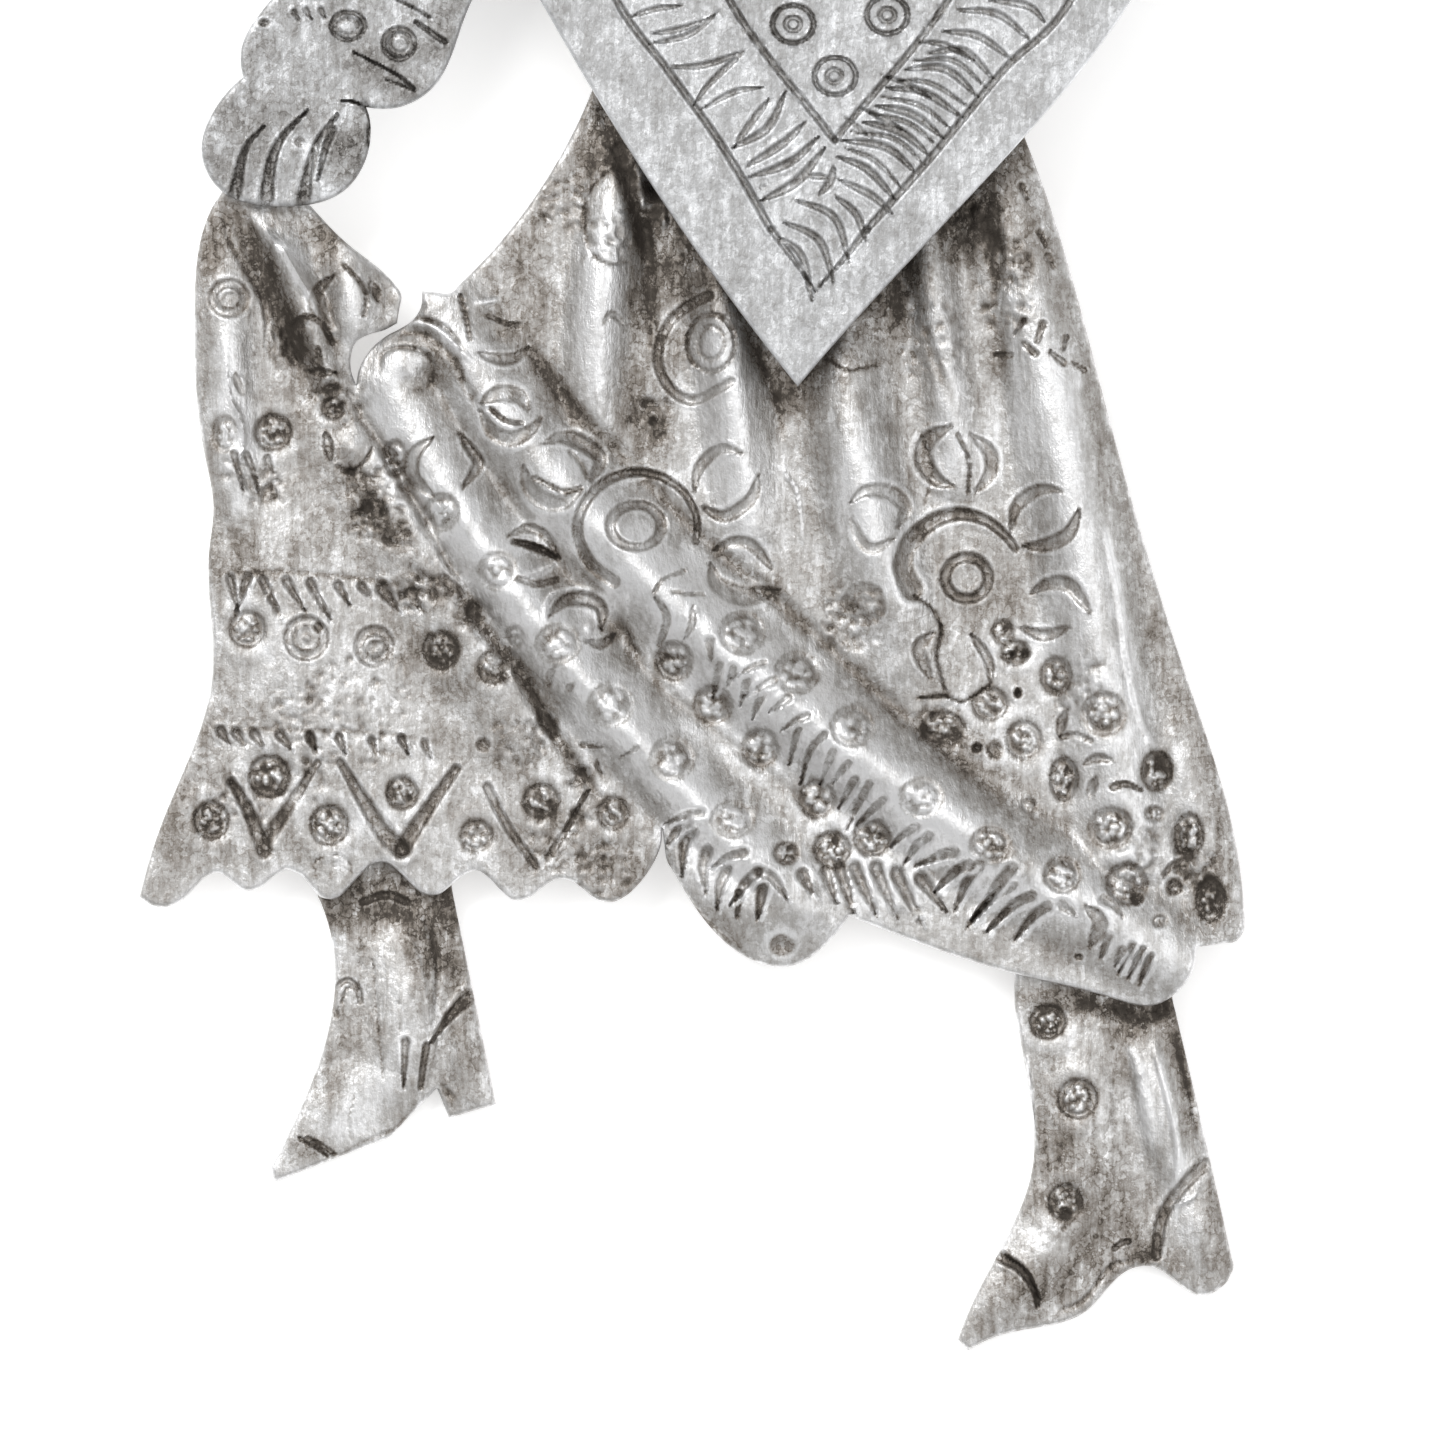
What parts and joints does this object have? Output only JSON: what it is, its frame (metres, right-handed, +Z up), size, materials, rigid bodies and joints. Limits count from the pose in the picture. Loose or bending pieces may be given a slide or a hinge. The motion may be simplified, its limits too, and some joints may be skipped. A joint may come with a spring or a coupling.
{
  "type": "dancer brooch",
  "caption": "Chased silver brooch of a dancer in a swirling folded skirt, pointed shawl and heeled boots, with a pin stem and catch on its back.",
  "frame": {"origin": "on the table that the brooch lies on, under the middle of its bounding box", "axes": "+X to the right of the figure as it is seen, +Y towards its head, +Z up out of its front"},
  "size_m": [0.0466, 0.0898, 0.0088],
  "materials": {
    "skirt_silver": "worn chased silver sheet, grey tarnish in its hollows",
    "shawl_silver": "satin silver plate with fine scratches and darkened chased lines",
    "arm_silver": "satin silver plate with fine scratches",
    "boot_silver": "worn silver sheet, darker under the hem",
    "head_silver": "satin silver, darkened hair lines",
    "pin_silver": "plain drawn silver wire and strip"
  },
  "bodies": {
    "root": {"dress": "skirt_silver", "shawl": "shawl_silver", "holding_arm": "arm_silver", "raised_arm": "arm_silver", "left_boot": "boot_silver", "right_boot": "boot_silver", "head": "head_silver", "pin": "pin_silver"}
  },
  "joints": []
}
